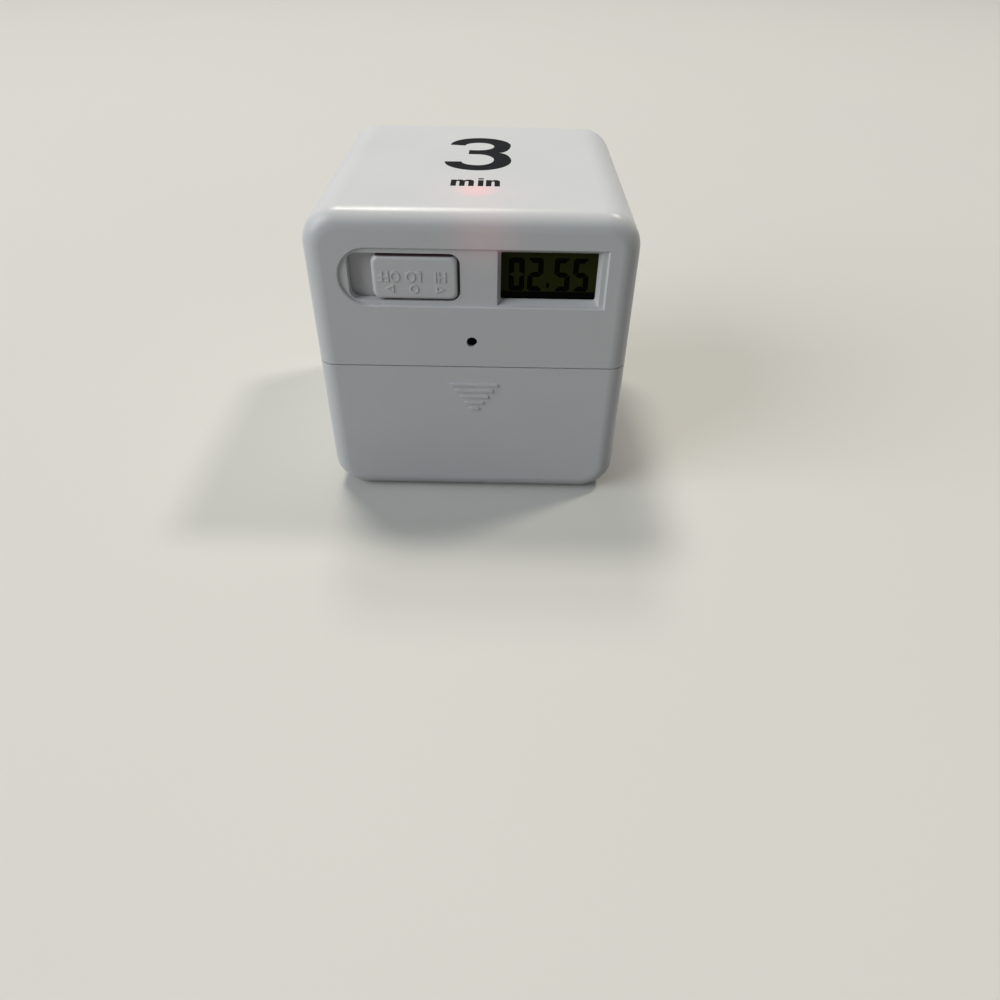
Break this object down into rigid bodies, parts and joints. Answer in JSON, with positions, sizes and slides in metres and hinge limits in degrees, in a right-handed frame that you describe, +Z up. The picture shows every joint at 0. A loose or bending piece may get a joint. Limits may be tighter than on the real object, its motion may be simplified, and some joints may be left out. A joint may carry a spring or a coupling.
{
  "type": "cube timer",
  "caption": "Cube-shaped kitchen timer: rounded white shell with a display window, sliding switch, sound hole and slide-off battery cover, started by turning a numbered face up.",
  "frame": {"origin": "middle of the bottom face, in the plane the timer rests on", "axes": "+Z up through the top face, -Y out of the display face, +X to the right seen from the display side"},
  "size_m": [0.06, 0.0602, 0.06],
  "materials": {
    "shell_white": "satin white moulded plastic",
    "knob_white": "satin white moulded plastic with raised marks",
    "lcd_film": "dark olive polarising film",
    "lcd_glass": "thin clear display glass",
    "lcd_back": "grey green reflector film",
    "frame_grey": "dark grey moulding",
    "contact_rubber": "layered black elastomer",
    "moulding_black": "black moulding or resin",
    "phenolic_brown": "brown phenolic board",
    "board_green": "green solder mask on glass fibre",
    "steel": "plated steel",
    "spring_bronze": "phosphor bronze strip",
    "contact_nickel": "nickel plated spring steel",
    "magnet_grey": "sintered ferrite",
    "copper_winding": "enamelled copper wire",
    "lamp_red": "clear red resin lamp",
    "cell_jacket": "printed jacket on a steel can",
    "lead_red": "red insulated lead",
    "lead_black": "black insulated lead"
  },
  "bodies": {
    "case": {"main_housing": "shell_white", "rear_cover": "shell_white", "case_screws": "steel", "lcd_polariser": "lcd_film", "lcd_front_glass": "lcd_glass", "lcd_rear_glass": "lcd_glass", "lcd_reflector": "lcd_back", "lcd_frame": "frame_grey", "contact_strip": "contact_rubber", "switch_can": "steel", "switch_base": "phenolic_brown", "switch_pins": "spring_bronze", "main_board": "board_green", "board_screws": "steel", "chip_blob": "moulding_black", "crystal": "steel", "chip_resistors": "moulding_black", "alarm_led": "lamp_red", "led_leads": "steel", "buzzer_case": "moulding_black", "buzzer_diaphragm": "steel", "buzzer_magnet": "magnet_grey", "buzzer_coil": "copper_winding", "tilt_cans": "steel", "tilt_plugs": "moulding_black", "tilt_pins": "spring_bronze", "cell_upper": "cell_jacket", "cell_lower": "cell_jacket", "contact_plus": "contact_nickel", "contact_minus": "contact_nickel", "contact_bridge": "contact_nickel", "spring_minus": "contact_nickel", "spring_bridge": "contact_nickel", "lead_red": "lead_red", "lead_black": "lead_black"},
    "switch": {"switch_knob": "knob_white", "switch_slider": "moulding_black", "switch_wiper": "spring_bronze"},
    "cover": {"battery_cover": "shell_white"},
    "ball_left": {"tilt_ball_left": "steel"},
    "ball_right": {"tilt_ball_right": "steel"}
  },
  "joints": [
    {"name": "knob_slide", "type": "slide", "parent": "case", "child": "switch", "axis": [-1, 0, 0], "range_m": [0, 0.004]},
    {"name": "cover_slide", "type": "slide", "parent": "case", "child": "cover", "axis": [0, 0, -1], "range_m": [0, 0.034]},
    {"name": "ball_left_roll", "type": "slide", "parent": "case", "child": "ball_left", "axis": [-0.7071, 0, 0.7071], "range_m": [0, 0.0031]},
    {"name": "ball_right_roll", "type": "slide", "parent": "case", "child": "ball_right", "axis": [0.7071, 0, 0.7071], "range_m": [0, 0.0031]}
  ]
}
